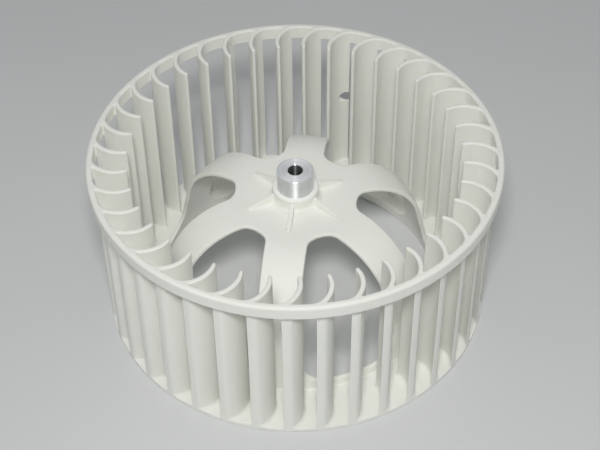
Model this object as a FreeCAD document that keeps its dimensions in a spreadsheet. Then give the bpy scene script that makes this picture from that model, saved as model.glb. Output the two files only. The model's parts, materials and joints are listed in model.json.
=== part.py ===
import FreeCAD, Part
import math
import os

import Sketcher

# Blower motor wheel: a forward-curved, single-inlet centrifugal wheel.
# A cage of curved plastic blades stands on a flat back plate.  A domed spider rises
# inside the cage and carries a turned metal hub, so that the motor can sit partly
# inside the wheel.  A set screw in the hub clamps the motor shaft.
#
# Frame: origin at the centre of the wheel's back face, +Z along the wheel's axis towards
# the air inlet.  Angles run anticlockwise from +X as seen from the inlet.

doc = FreeCAD.newDocument("blower_wheel")

# ---------------------------------------------------------------- driving dimensions
# alias, value, meaning
DIMENSIONS = [
    ("wheel_height", 102.0, "back face to inlet rim"),
    ("ring_outer_radius", 110.5, "outside of the inlet ring, the widest part"),
    ("ring_inner_radius", 107.0, "inside of the inlet ring and outside of the blades"),
    ("ring_height", 8.0, "axial height of the inlet ring"),
    ("ring_outer_round", 0.5, "round on the ring's outer edges"),
    ("blade_count", 39, "blades round the wheel"),
    ("first_blade_angle", 3.2, "angle of the first blade's inner tip"),
    ("blade_tip_radius", 88.8, "radius of the blades' inner tips"),
    ("blade_thickness", 2.4, "wall of a blade"),
    ("camber_radius", 15.7, "radius of the blade's mean line"),
    ("camber_center_ahead", 93.2, "centre of the mean line, along the tip's radius"),
    ("camber_center_beside", -15.33, "centre of the mean line, square to the tip's radius"),
    ("plate_thickness", 2.5, "wall of the back plate"),
    ("dome_wall", 2.4, "wall of the spider"),
    ("dome_top_height", 70.0, "outer face of the spider's flat top"),
    ("shoulder_radius", 39.5, "outer radius of the spider's shoulder"),
    ("shoulder_center_radius", 33.8, "distance of the shoulder's centre from the axis"),
    ("dome_draft", 13.5, "slope of the spider's side, degrees from the axis"),
    ("foot_inner_radius", 79.4, "inside of the spider's foot at the back face"),
    ("arm_count", 6, "arms of the spider"),
    ("first_arm_angle", 21.6, "angle of the first arm"),
    ("arm_half_width", 11.2, "half the width of an arm"),
    ("opening_inner_radius", 33.5, "inner end of an opening between arms"),
    ("opening_outer_radius", 84.0, "outer end of an opening's outline, clear of the foot"),
    ("opening_inner_round", 8.0, "corner radius at an opening's inner end"),
    ("opening_outer_round", 1.0, "corner radius of the outline at its outer end"),
    ("opening_foot_round", 15.0, "corner radius at an opening's lower end"),
    ("curb_height", 7.1, "height of the foot that runs on below the openings"),
    ("boss_radius", 12.65, "outside of the plastic boss round the hub"),
    ("boss_top_height", 77.0, "upper end of the boss"),
    ("boss_bottom_height", 60.0, "lower end of the boss"),
    ("boss_round", 0.7, "round on the boss's top edge"),
    ("rib_end_radius", 28.0, "outer end of a rib"),
    ("rib_thickness", 2.3, "wall of a rib"),
    ("rib_inner_rise", 5.6, "height of a rib above the top plate at the boss"),
    ("rib_outer_rise", 1.1, "height of a rib above the top plate at its end"),
    ("hub_radius", 10.0, "outside of the metal hub"),
    ("hub_top_height", 88.6, "upper end of the metal hub"),
    ("hub_bottom_height", 48.0, "lower end of the metal hub"),
    ("hub_chamfer", 0.25, "chamfer on the hub's edges"),
    ("bore_radius", 4.0, "motor shaft bore"),
    ("waist_flats", 16.0, "across the flats of the hexagonal waist that the boss grips"),
    ("waist_bottom_height", 64.0, "lower end of the hexagonal waist"),
    ("waist_top_height", 72.0, "upper end of the hexagonal waist"),
    ("screw_angle", 74.0, "direction of the set screw"),
    ("screw_height", 54.0, "height of the set screw's axis"),
    ("screw_radius", 3.0, "outside of the set screw"),
    ("screw_clearance", 0.05, "radial running clearance of the set screw"),
    ("screw_length", 6.0, "length of the set screw"),
    ("screw_tip_radius", 4.2, "distance of the screw's point from the axis, shaft free"),
    ("screw_point_chamfer", 0.8, "chamfer round the screw's point"),
    ("socket_flats", 3.0, "across the flats of the screw's socket"),
    ("socket_depth", 2.6, "depth of the screw's socket"),
    ("blade_driver_angle", 73.2, "direction of the driver's hole through one blade"),
    ("blade_driver_radius", 3.5, "hole for the driver through one blade"),
    ("arm_driver_radius", 1.9, "hole for the driver through one arm, along the screw"),
]
DRILLED_BLADE = 9

sheet = doc.addObject("Spreadsheet::Sheet", "dims")
for row, (alias, value, meaning) in enumerate(DIMENSIONS, start=1):
    sheet.set(f"A{row}", alias)
    sheet.set(f"B{row}", str(value))
    sheet.set(f"C{row}", meaning)
    sheet.setAlias(f"B{row}", alias)
doc.recompute()


def worth(expression):
    """The present value of an expression of the sheet's cells."""
    return float(sheet.evalExpression(expression))


# ---------------------------------------------------------------- sketch helpers
ORIGIN = (-1, 1)
START = 1
END = 2
CENTER = 3
UP = FreeCAD.Vector(0, 0, 1)


def new_body(label):
    body = doc.addObject("PartDesign::Body", label)
    body.Label = label
    return body


def new_sketch(body, name, plane_role, height=None, turn=None):
    """A sketch on one of the body's own origin planes.

    height is an expression that lifts the sketch along the plane's normal.
    turn is an expression, in degrees, that swings the sketch about the wheel's axis.
    """
    sketch = body.newObject("Sketcher::SketchObject", f"{body.Label}_{name}")
    plane = [item for item in body.Origin.OriginFeatures if item.Role == plane_role][0]
    sketch.AttachmentSupport = [(plane, "")]
    sketch.MapMode = "FlatFace"
    if turn is not None:
        wheel_axis = UP if plane_role == "XY_Plane" else FreeCAD.Vector(0, 1, 0)
        swing = FreeCAD.Rotation(wheel_axis, 1)
        sketch.AttachmentOffset = FreeCAD.Placement(FreeCAD.Vector(), swing)
        sketch.setExpression(".AttachmentOffset.Rotation.Angle", turn)
    if height is not None:
        sketch.setExpression(".AttachmentOffset.Base.z", height)
    return sketch


def bind(sketch, expression, kind, *where):
    """Add a length constraint whose value follows an expression."""
    index = sketch.addConstraint(Sketcher.Constraint(kind, *where, worth(expression)))
    sketch.setExpression(f"Constraints[{index}]", expression)


def join(sketch, kind, one, other):
    """Tie two points of the sketch together, as Coincident or as Tangent ends."""
    sketch.addConstraint(Sketcher.Constraint(kind, *one, *other))


def place(sketch, geometry, point, across, up):
    """Hold a point of the sketch at two expressions, measured from its origin."""
    bind(sketch, across, "DistanceX", *ORIGIN, geometry, point)
    bind(sketch, up, "DistanceY", *ORIGIN, geometry, point)


def add_circle(sketch, across, up, radius):
    center = FreeCAD.Vector(worth(across), worth(up), 0)
    circle = sketch.addGeometry(Part.Circle(center, UP, worth(radius)))
    place(sketch, circle, CENTER, across, up)
    bind(sketch, radius, "Radius", circle)


def add_arc(sketch, center, radius, first, last):
    """An arc that runs anticlockwise between two angles in radians."""
    circle = Part.Circle(FreeCAD.Vector(*center, 0), UP, radius)
    return sketch.addGeometry(Part.ArcOfCircle(circle, first, last))


def add_outline(sketch, corners, bends=None):
    """A closed outline through corners, which are pairs of expressions.

    bends maps the number of an edge to the radius of an arc that replaces the straight
    edge, and to the side of the direction of travel on which its centre lies.
    """
    bends = bends or {}
    points = [FreeCAD.Vector(worth(across), worth(up), 0) for across, up in corners]
    edges = []
    for number, start in enumerate(points):
        end = points[(number + 1) % len(points)]
        if number not in bends:
            edge = sketch.addGeometry(Part.LineSegment(start, end))
            edges.append((edge, START, END))
            continue
        radius, side = worth(bends[number][0]), bends[number][1]
        half_chord = (end - start) * 0.5
        to_center = math.sqrt(radius**2 - half_chord.Length**2)
        left = FreeCAD.Vector(-half_chord.y, half_chord.x, 0).normalize()
        center = start + half_chord + left * (to_center if side == "left" else -to_center)
        angles = [math.atan2(p.y - center.y, p.x - center.x) for p in (start, end)]
        if side == "left":
            edges.append((add_arc(sketch, (center.x, center.y), radius, *angles), START, END))
        else:
            angles.reverse()
            edges.append((add_arc(sketch, (center.x, center.y), radius, *angles), END, START))
    for number, (edge, start_point, end_point) in enumerate(edges):
        following, its_start, _ = edges[(number + 1) % len(edges)]
        join(sketch, "Coincident", (edge, end_point), (following, its_start))
        place(sketch, edge, start_point, *corners[number])
    for number, (radius, _) in bends.items():
        bind(sketch, radius, "Radius", edges[number][0])


def add_rectangle(sketch, left, right, bottom, top):
    add_outline(sketch, [(left, bottom), (right, bottom), (right, top), (left, top)])


def add_hexagon(sketch, across, up, flats):
    """A hexagon with two corners level with its centre."""
    corners = []
    for step in range(6):
        x = f"({across}) + ({flats}) / 2 / cos(30) * cos({60 * step})"
        y = f"({up}) + ({flats}) / 2 / cos(30) * sin({60 * step})"
        corners.append((x, y))
    add_outline(sketch, corners)


# ---------------------------------------------------------------- feature helpers
def revolve(body, sketch):
    """Turn a sketch in the XZ plane about the wheel's axis."""
    feature = body.newObject("PartDesign::Revolution", f"{body.Label}_turned")
    feature.Profile = sketch
    feature.ReferenceAxis = (sketch, ["V_Axis"])
    feature.Angle = 360
    return feature


def pad(body, sketch, length, midplane=False):
    feature = body.newObject("PartDesign::Pad", f"{sketch.Name}_pad")
    feature.Profile = sketch
    feature.setExpression("Length", length)
    feature.Midplane = midplane
    return feature


def pocket(body, sketch, length):
    """Cut along the sketch's normal, and make sure that something was cut."""
    doc.recompute()
    before = body.Shape.Volume
    feature = body.newObject("PartDesign::Pocket", f"{sketch.Name}_pocket")
    feature.Profile = sketch
    feature.Reversed = True
    feature.setExpression("Length", length)
    doc.recompute()
    if body.Shape.Volume >= before - 1e-6:
        raise RuntimeError(f"{feature.Name} cuts nothing")
    return feature


def edges_at(feature, radius, level, axis="z"):
    """Names of a feature's circular edges of a radius whose centre is at a level."""
    names = []
    for number, edge in enumerate(feature.Shape.Edges, start=1):
        curve = edge.Curve
        if not isinstance(curve, Part.Circle):
            continue
        level_fits = math.isclose(getattr(curve.Center, axis), worth(level), abs_tol=1e-4)
        if level_fits and math.isclose(curve.Radius, worth(radius), abs_tol=1e-4):
            names.append(f"Edge{number}")
    return names


def edges_across(feature, level):
    """Names of a feature's straight edges that lie at a level."""
    names = []
    for number, edge in enumerate(feature.Shape.Edges, start=1):
        heights = [vertex.Z for vertex in edge.Vertexes]
        level_fits = all(math.isclose(z, worth(level), abs_tol=1e-4) for z in heights)
        if level_fits and isinstance(edge.Curve, Part.Line):
            names.append(f"Edge{number}")
    return names


def dress(body, kind, base, edges, size):
    """Fillet or chamfer some edges of a feature."""
    feature = body.newObject(f"PartDesign::{kind}", f"{base.Name}_{kind.lower()}")
    feature.Base = (base, edges)
    feature.setExpression("Radius" if kind == "Fillet" else "Size", size)
    return feature


def turn_body(body, angle):
    """Turn a finished body about the wheel's axis to an angle in degrees."""
    body.Placement = FreeCAD.Placement(FreeCAD.Vector(), FreeCAD.Rotation(UP, 1))
    body.setExpression(".Placement.Rotation.Angle", angle)


# ---------------------------------------------------------------- the pieces
def make_inlet_ring():
    """The rim outside the blades' inlet ends."""
    body = new_body("inlet_ring")
    sketch = new_sketch(body, "section", "XZ_Plane")
    bottom = "dims.wheel_height - dims.ring_height"
    inner, outer = "dims.ring_inner_radius", "dims.ring_outer_radius"
    add_rectangle(sketch, inner, outer, bottom, "dims.wheel_height")
    ring = revolve(body, sketch)
    doc.recompute()
    rims = edges_at(ring, outer, "dims.wheel_height") + edges_at(ring, outer, bottom)
    dress(body, "Fillet", ring, rims, "dims.ring_outer_round")
    return body


def make_blade(number):
    """A blade of constant section, concave side forwards, cut flush with the back plate."""
    body = new_body(f"blade_{number:02d}")
    sketch = new_sketch(body, "section", "XY_Plane", height="dims.plate_thickness")
    half = worth("dims.blade_thickness") / 2
    camber = worth("dims.camber_radius")
    rim = worth("dims.ring_inner_radius")
    center = (worth("dims.camber_center_ahead"), worth("dims.camber_center_beside"))
    reach = math.hypot(*center)
    bearing = math.atan2(center[1], center[0])

    def crossing(radius, distance):
        """Angle, about the camber centre, where a circle comes to a distance from the axis."""
        cosine = (distance**2 - reach**2 - radius**2) / (2 * reach * radius)
        return bearing + math.acos(cosine)

    tip = crossing(camber, worth("dims.blade_tip_radius") + half)
    outside = add_arc(sketch, center, camber + half, crossing(camber + half, rim), tip)
    inside = add_arc(sketch, center, camber - half, crossing(camber - half, rim), tip)
    tip_center = (center[0] + camber * math.cos(tip), center[1] + camber * math.sin(tip))
    nose = add_arc(sketch, tip_center, half, tip, tip + math.pi)
    outer_end = crossing(camber + half, rim)
    inner_end = crossing(camber - half, rim)
    rim_angles = []
    for radius, angle in ((camber - half, inner_end), (camber + half, outer_end)):
        x = center[0] + radius * math.cos(angle)
        y = center[1] + radius * math.sin(angle)
        rim_angles.append(math.atan2(y, x))
    back = add_arc(sketch, (0, 0), rim, *rim_angles)

    place(sketch, outside, CENTER, "dims.camber_center_ahead", "dims.camber_center_beside")
    bind(sketch, "dims.camber_radius + dims.blade_thickness / 2", "Radius", outside)
    join(sketch, "Coincident", (inside, CENTER), (outside, CENTER))
    bind(sketch, "dims.camber_radius - dims.blade_thickness / 2", "Radius", inside)
    join(sketch, "Tangent", (outside, END), (nose, START))
    join(sketch, "Tangent", (nose, END), (inside, END))
    nose_distance = "dims.blade_tip_radius + dims.blade_thickness / 2"
    bind(sketch, nose_distance, "Distance", *ORIGIN, nose, CENTER)
    join(sketch, "Coincident", (back, CENTER), ORIGIN)
    bind(sketch, "dims.ring_inner_radius", "Radius", back)
    join(sketch, "Coincident", (back, START), (inside, START))
    join(sketch, "Coincident", (back, END), (outside, START))
    pad(body, sketch, "dims.wheel_height - dims.plate_thickness")

    angle = f"dims.first_blade_angle + {number - 1} * 360 / dims.blade_count"
    if number == DRILLED_BLADE:
        path = new_sketch(body, "driver", "YZ_Plane", turn=f"dims.blade_driver_angle - ({angle})")
        add_circle(path, "0", "dims.screw_height", "dims.blade_driver_radius")
        pocket(body, path, "dims.ring_outer_radius")
    turn_body(body, angle)
    return body


# Where the spider's shoulder runs out into its sloping side, and where that side meets
# the top of the back plate.
SHOULDER_HEIGHT = "(dims.dome_top_height - dims.shoulder_radius)"
SIDE_RADIUS = "(dims.shoulder_center_radius + dims.shoulder_radius * cos(dims.dome_draft))"
SIDE_HEIGHT = f"({SHOULDER_HEIGHT} + dims.shoulder_radius * sin(dims.dome_draft))"
FOOT_RADIUS = f"({SIDE_RADIUS} + ({SIDE_HEIGHT} - dims.plate_thickness) * tan(dims.dome_draft))"


def make_back_plate():
    """The flat annulus that the blades stand on."""
    body = new_body("back_plate")
    sketch = new_sketch(body, "section", "XZ_Plane")
    add_rectangle(sketch, FOOT_RADIUS, "dims.ring_inner_radius", "0", "dims.plate_thickness")
    revolve(body, sketch)
    return body


def add_opening(sketch):
    """The outline between two arms, symmetrical about the sketch's X axis.

    Its sides run parallel to the two arms, and its corners are rounded into circles
    about the axis at both ends.
    """
    half_width = worth("dims.arm_half_width")
    half_step = math.pi / worth("dims.arm_count")
    sides = (1, -1)

    def from_arm(along, beside, side):
        """A point given along and beside an arm's axis; side picks the arm."""
        x = along * math.cos(half_step) + beside * math.sin(half_step)
        y = along * math.sin(half_step) - beside * math.cos(half_step)
        return (x, side * y)

    reaches = {}
    ends = {}
    corners = {}
    for end, way in (("inner", 1), ("outer", -1)):
        radius = worth(f"dims.opening_{end}_radius")
        corner_round = worth(f"dims.opening_{end}_round")
        beside = half_width + corner_round
        reaches[end] = math.sqrt((radius + way * corner_round) ** 2 - beside**2)
        center = from_arm(reaches[end], beside, 1)
        spread = math.atan2(center[1], center[0])
        ends[end] = add_arc(sketch, (0, 0), radius, -spread, spread)
        join(sketch, "Coincident", (ends[end], CENTER), ORIGIN)
        bind(sketch, f"dims.opening_{end}_radius", "Radius", ends[end])
        for side in sides:
            to_line = side * (math.pi / 2 + half_step)
            to_end = side * spread + (math.pi if end == "inner" else 0)
            line_first = (way == side)
            angles = (to_line, to_end) if line_first else (to_end, to_line)
            corner = add_arc(sketch, (center[0], side * center[1]), corner_round, *angles)
            line_point, end_point = (START, END) if line_first else (END, START)
            corners[end, side] = (corner, line_point)
            tip = END if side == 1 else START
            join(sketch, "Tangent", (ends[end], tip), (corner, end_point))
            bind(sketch, f"dims.opening_{end}_round", "Radius", corner)
    for side in sides:
        near, far = [from_arm(reaches[end], half_width, side) for end in ("inner", "outer")]
        edge = Part.LineSegment(FreeCAD.Vector(*near, 0), FreeCAD.Vector(*far, 0))
        line = sketch.addGeometry(edge)
        join(sketch, "Tangent", (line, START), corners["inner", side])
        join(sketch, "Tangent", (line, END), corners["outer", side])
        bind(sketch, "dims.arm_half_width", "Distance", *ORIGIN, line)
        lean = sketch.addConstraint(Sketcher.Constraint("Angle", line, side * half_step))
        sketch.setExpression(f"Constraints[{lean}]", f"{side} * 180 / dims.arm_count")


def make_spider():
    """The dome from the boss down to the back plate, cut open between its arms."""
    body = new_body("spider")
    section = new_sketch(body, "section", "XZ_Plane")
    inner_radius = "(dims.shoulder_radius - dims.dome_wall)"
    corners = [
        ("dims.boss_radius", "dims.dome_top_height"),
        ("dims.shoulder_center_radius", "dims.dome_top_height"),
        (SIDE_RADIUS, SIDE_HEIGHT),
        (FOOT_RADIUS, "dims.plate_thickness"),
        (FOOT_RADIUS, "0"),
        ("dims.foot_inner_radius", "0"),
        (
            f"dims.shoulder_center_radius + {inner_radius} * cos(dims.dome_draft)",
            f"{SHOULDER_HEIGHT} + {inner_radius} * sin(dims.dome_draft)",
        ),
        ("dims.shoulder_center_radius", "dims.dome_top_height - dims.dome_wall"),
        ("dims.boss_radius", "dims.dome_top_height - dims.dome_wall"),
    ]
    bends = {1: ("dims.shoulder_radius", "right"), 6: (inner_radius, "left")}
    add_outline(section, corners, bends)
    dome = revolve(body, section)

    half_step = "180 / dims.arm_count"
    outline = new_sketch(body, "opening", "XY_Plane", "dims.curb_height", half_step)
    add_opening(outline)
    opening = pocket(body, outline, "dims.dome_top_height")
    openings = body.newObject("PartDesign::PolarPattern", "spider_openings")
    openings.Originals = [opening]
    openings.Axis = (outline, ["N_Axis"])
    openings.Angle = 360
    openings.setExpression("Occurrences", "dims.arm_count")
    body.Tip = openings
    doc.recompute()
    one_cut = dome.Shape.Volume - opening.Shape.Volume
    all_cuts = dome.Shape.Volume - openings.Shape.Volume
    if not math.isclose(all_cuts, one_cut * worth("dims.arm_count"), rel_tol=1e-3):
        raise RuntimeError("the openings between the arms aren't all cut")

    dress(body, "Fillet", openings, edges_across(openings, "dims.curb_height"),
          "dims.opening_foot_round")
    screw_from_arm = "dims.screw_angle - dims.first_arm_angle"
    path = new_sketch(body, "driver", "YZ_Plane", turn=screw_from_arm)
    add_circle(path, "0", "dims.screw_height", "dims.arm_driver_radius")
    pocket(body, path, "dims.ring_outer_radius")
    turn_body(body, "dims.first_arm_angle")
    return body


def make_hub_boss():
    """The plastic boss, moulded round the metal hub and into its hexagonal waist."""
    body = new_body("hub_boss")
    rim = new_sketch(body, "rim", "XY_Plane", height="dims.boss_bottom_height")
    add_circle(rim, "0", "0", "dims.boss_radius")
    sleeve = pad(body, rim, "dims.boss_top_height - dims.boss_bottom_height")
    doc.recompute()
    top_edge = edges_at(sleeve, "dims.boss_radius", "dims.boss_top_height")
    dress(body, "Fillet", sleeve, top_edge, "dims.boss_round")

    grip = new_sketch(body, "grip", "XY_Plane", height="dims.boss_bottom_height")
    add_hexagon(grip, "0", "0", "dims.waist_flats")
    pocket(body, grip, "dims.boss_top_height")
    lower = new_sketch(body, "lower_seat", "XY_Plane", height="dims.boss_bottom_height")
    add_circle(lower, "0", "0", "dims.hub_radius")
    pocket(body, lower, "dims.waist_bottom_height - dims.boss_bottom_height")
    upper = new_sketch(body, "upper_seat", "XY_Plane", height="dims.waist_top_height")
    add_circle(upper, "0", "0", "dims.hub_radius")
    pocket(body, upper, "dims.boss_top_height")
    turn_body(body, "dims.screw_angle")
    return body


def make_rib(number):
    """A gusset between the boss and the top plate, in line with an arm."""
    body = new_body(f"rib_{number}")
    side = new_sketch(body, "side", "XZ_Plane")
    corners = [
        ("dims.hub_radius", "dims.dome_top_height"),
        ("dims.rib_end_radius", "dims.dome_top_height"),
        ("dims.rib_end_radius", "dims.dome_top_height + dims.rib_outer_rise"),
        ("dims.boss_radius", "dims.dome_top_height + dims.rib_inner_rise"),
        ("dims.hub_radius", "dims.dome_top_height + dims.rib_inner_rise"),
    ]
    add_outline(side, corners)
    pad(body, side, "dims.rib_thickness", midplane=True)
    boss = new_sketch(body, "boss", "XY_Plane", height="dims.dome_top_height")
    add_circle(boss, "0", "0", "dims.boss_radius")
    pocket(body, boss, "dims.boss_top_height")
    turn_body(body, f"dims.first_arm_angle + {number - 1} * 360 / dims.arm_count")
    return body


def make_hub_insert():
    """The turned metal hub, with its bore, its hexagonal waist and its screw hole."""
    body = new_body("hub_insert")
    end = new_sketch(body, "end", "XY_Plane", height="dims.hub_bottom_height")
    add_circle(end, "0", "0", "dims.hub_radius")
    pad(body, end, "dims.hub_top_height - dims.hub_bottom_height")
    waist = new_sketch(body, "waist", "XY_Plane", height="dims.waist_bottom_height")
    add_circle(waist, "0", "0", "dims.boss_radius")
    add_hexagon(waist, "0", "0", "dims.waist_flats")
    pocket(body, waist, "dims.waist_top_height - dims.waist_bottom_height")
    bore = new_sketch(body, "bore", "XY_Plane", height="dims.hub_bottom_height")
    add_circle(bore, "0", "0", "dims.bore_radius")
    pocket(body, bore, "dims.hub_top_height")
    thread = new_sketch(body, "thread", "YZ_Plane")
    add_circle(thread, "0", "dims.screw_height", "dims.screw_radius + dims.screw_clearance")
    tapped = pocket(body, thread, "dims.hub_radius * 2")
    rims = []
    for level in ("dims.hub_top_height", "dims.hub_bottom_height"):
        rims += edges_at(tapped, "dims.hub_radius", level)
        rims += edges_at(tapped, "dims.bore_radius", level)
    dress(body, "Chamfer", tapped, rims, "dims.hub_chamfer")
    turn_body(body, "dims.screw_angle")
    return body


def make_set_screw():
    """The socket set screw, with its point just clear of the shaft bore."""
    body = new_body("set_screw")
    point = new_sketch(body, "point", "YZ_Plane", height="dims.screw_tip_radius")
    add_circle(point, "0", "dims.screw_height", "dims.screw_radius")
    shank = pad(body, point, "dims.screw_length")
    doc.recompute()
    rim = edges_at(shank, "dims.screw_radius", "dims.screw_tip_radius", axis="x")
    dress(body, "Chamfer", shank, rim, "dims.screw_point_chamfer")
    socket_floor = "dims.screw_tip_radius + dims.screw_length - dims.socket_depth"
    socket = new_sketch(body, "socket", "YZ_Plane", height=socket_floor)
    add_hexagon(socket, "0", "dims.screw_height", "dims.socket_flats")
    pocket(body, socket, "dims.socket_depth")
    turn_body(body, "dims.screw_angle")
    return body


# ---------------------------------------------------------------- the whole wheel
pieces = [make_inlet_ring(), make_back_plate(), make_spider(), make_hub_boss()]
for arm in range(1, round(worth("dims.arm_count")) + 1):
    pieces.append(make_rib(arm))
for blade in range(1, round(worth("dims.blade_count")) + 1):
    pieces.append(make_blade(blade))
pieces += [make_hub_insert(), make_set_screw()]
doc.recompute()

for item in doc.Objects:
    if "Invalid" in item.State or "Error" in item.State:
        raise RuntimeError(f"{item.Name} failed: {item.State}")
for piece in pieces:
    shape = piece.Shape
    if shape.isNull() or not shape.isValid() or len(shape.Solids) != 1:
        raise RuntimeError(f"{piece.Label} isn't one valid solid")

os.makedirs("parts", exist_ok=True)
for piece in pieces:
    piece.Shape.exportStep(f"parts/{piece.Label}.step")
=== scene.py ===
"""Looks of a moulded blower wheel with a turned metal hub, built round its CAD frame."""

import json
import math

import bmesh
import bpy
from mathutils import Matrix, Vector

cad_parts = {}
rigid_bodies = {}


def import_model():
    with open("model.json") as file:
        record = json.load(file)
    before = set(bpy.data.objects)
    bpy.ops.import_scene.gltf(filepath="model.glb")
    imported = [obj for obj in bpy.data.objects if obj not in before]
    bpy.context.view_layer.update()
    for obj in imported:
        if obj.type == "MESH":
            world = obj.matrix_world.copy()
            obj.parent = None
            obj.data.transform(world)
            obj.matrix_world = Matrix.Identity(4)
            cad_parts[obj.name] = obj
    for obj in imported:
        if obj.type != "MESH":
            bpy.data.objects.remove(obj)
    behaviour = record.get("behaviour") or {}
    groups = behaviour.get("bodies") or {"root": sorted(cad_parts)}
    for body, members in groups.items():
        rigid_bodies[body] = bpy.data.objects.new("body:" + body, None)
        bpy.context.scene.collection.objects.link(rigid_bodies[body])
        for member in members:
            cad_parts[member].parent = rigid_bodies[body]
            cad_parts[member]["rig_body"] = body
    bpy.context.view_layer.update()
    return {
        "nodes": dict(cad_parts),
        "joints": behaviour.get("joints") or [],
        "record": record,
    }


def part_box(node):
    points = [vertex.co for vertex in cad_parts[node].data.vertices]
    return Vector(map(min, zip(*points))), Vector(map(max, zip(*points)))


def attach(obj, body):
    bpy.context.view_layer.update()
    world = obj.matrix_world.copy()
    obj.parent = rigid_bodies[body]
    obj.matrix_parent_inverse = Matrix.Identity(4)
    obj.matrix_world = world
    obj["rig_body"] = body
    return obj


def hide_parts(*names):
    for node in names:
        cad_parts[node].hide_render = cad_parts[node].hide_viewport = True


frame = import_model()

# Lengths are in millimetres and angles in degrees, except where a comment says otherwise.
MM = 0.001


def mm(value):
    """A CAD length in millimetres, rounded to a hundredth."""
    return round(value / MM, 2)


# ---------------------------------------------------------------- sizes from the frame
ring_low, ring_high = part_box("inlet_ring")
plate_low, plate_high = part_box("back_plate")
spider_low, spider_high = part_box("spider")
boss_low, boss_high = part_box("hub_boss")
hub_low, hub_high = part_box("hub_insert")

RING_OUTER = round(mm(ring_high.x), 1)
RING_BOTTOM = mm(ring_low.z)
WHEEL_TOP = mm(ring_high.z)
CAGE_RADIUS = round(mm(plate_high.x), 1)
PLATE_TOP = mm(plate_high.z)
DOME_TOP = mm(spider_high.z)
BOSS_BOTTOM, BOSS_TOP = mm(boss_low.z), mm(boss_high.z)
HUB_BOTTOM, HUB_TOP = mm(hub_low.z), mm(hub_high.z)
HUB_RADIUS = 10.0
BORE_RADIUS = frame["record"]["mounts"][0]["dims"]["r_mm"]

BLADE_NAMES = sorted(name for name in frame["nodes"] if name.startswith("blade_"))
RIB_NAMES = sorted(name for name in frame["nodes"] if name.startswith("rib_"))
BLADE_PITCH = 360 / len(BLADE_NAMES)
ARM_PITCH = 360 / len(RIB_NAMES)
FIRST_BLADE_ANGLE = 3.2
FIRST_ARM_ANGLE = 21.6

screw_axis = Vector(frame["joints"][0]["axis"])
SCREW_ANGLE = math.degrees(math.atan2(screw_axis.y, screw_axis.x))
screw_low, screw_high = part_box("set_screw")
SCREW_HEIGHT = mm((screw_low.z + screw_high.z) / 2)


# ---------------------------------------------------------------- mesh helpers
def arc_points(center, radius, first, last, steps):
    """Points on an arc in the plane, both ends included; angles in degrees."""
    points = []
    for step in range(steps + 1):
        angle = math.radians(first + (last - first) * step / steps)
        points.append((center[0] + radius * math.cos(angle), center[1] + radius * math.sin(angle)))
    return points


def rounded(corners, radii, steps=6):
    """A closed outline with each corner replaced by an arc of its own radius."""
    outline = []
    for number, corner in enumerate(corners):
        here = Vector(corner)
        radius = radii[number]
        if radius == 0:
            outline.append(tuple(here))
            continue
        back = (Vector(corners[number - 1]) - here).normalized()
        ahead = (Vector(corners[(number + 1) % len(corners)]) - here).normalized()
        half_angle = back.angle(ahead) / 2
        center = here + (back + ahead).normalized() * radius / math.sin(half_angle)
        first = here + back * radius / math.tan(half_angle)
        last = here + ahead * radius / math.tan(half_angle)
        start = math.atan2(first.y - center.y, first.x - center.x)
        sweep = math.atan2(last.y - center.y, last.x - center.x) - start
        sweep = (sweep + math.pi) % (2 * math.pi) - math.pi
        for step in range(steps + 1):
            angle = start + sweep * step / steps
            outline.append((center.x + radius * math.cos(angle),
                            center.y + radius * math.sin(angle)))
    return outline


def revolved(profile, steps, first_angle=0.0):
    """Points and quads of a closed (radius, height) profile turned about the wheel's axis."""
    points = []
    for step in range(steps):
        angle = math.radians(first_angle) + 2 * math.pi * step / steps
        for radius, height in profile:
            points.append((radius * math.cos(angle), radius * math.sin(angle), height))
    faces = []
    count = len(profile)
    for step in range(steps):
        here, there = step * count, (step + 1) % steps * count
        for number in range(count):
            following = (number + 1) % count
            faces.append((here + number, there + number, there + following, here + following))
    return points, faces


def lofted(loops):
    """Points and faces of closed loops joined one to the next, with both ends capped."""
    points = [point for loop in loops for point in loop]
    count = len(loops[0])
    faces = [tuple(reversed(range(count)))]
    for level in range(len(loops) - 1):
        base = level * count
        for number in range(count):
            following = (number + 1) % count
            faces.append((base + number, base + following,
                          base + count + following, base + count + number))
    faces.append(tuple(range((len(loops) - 1) * count, len(loops) * count)))
    return points, faces


MERGE_DISTANCE = 0.002
SHARP_ANGLE = 38
DRILL_STEPS = 48
FLAT_WEIGHT = 60


def closed_mesh(name, geometry, angle):
    """A mesh from points in millimetres, turned about the wheel's axis, its faces outwards."""
    points, faces = geometry
    mesh = bpy.data.meshes.new(name)
    mesh.from_pydata([Vector(point) * MM for point in points], [], faces)
    mesh.transform(Matrix.Rotation(math.radians(angle), 4, "Z"))
    build = bmesh.new()
    build.from_mesh(mesh)
    bmesh.ops.remove_doubles(build, verts=build.verts, dist=MERGE_DISTANCE * MM)
    bmesh.ops.recalc_face_normals(build, faces=build.faces)
    build.to_mesh(mesh)
    build.free()
    return mesh


def make_piece(name, geometry, material, node, angle=0.0):
    """A smooth-shaded piece that stands for one CAD node and rides on its body."""
    mesh = closed_mesh(name, geometry, angle)
    mesh.materials.append(material)
    mesh.shade_smooth()
    mesh.set_sharp_from_angle(angle=math.radians(SHARP_ANGLE))
    piece = bpy.data.objects.new(name, mesh)
    bpy.context.scene.collection.objects.link(piece)
    body = frame["nodes"][node]["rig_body"]
    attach(piece, body)
    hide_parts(node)
    return piece


def apply_modifiers(piece):
    """Make the modifiers' result the piece's own mesh."""
    bpy.context.view_layer.update()
    evaluated = piece.evaluated_get(bpy.context.evaluated_depsgraph_get())
    mesh = bpy.data.meshes.new_from_object(evaluated)
    piece.modifiers.clear()
    piece.data = mesh


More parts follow.
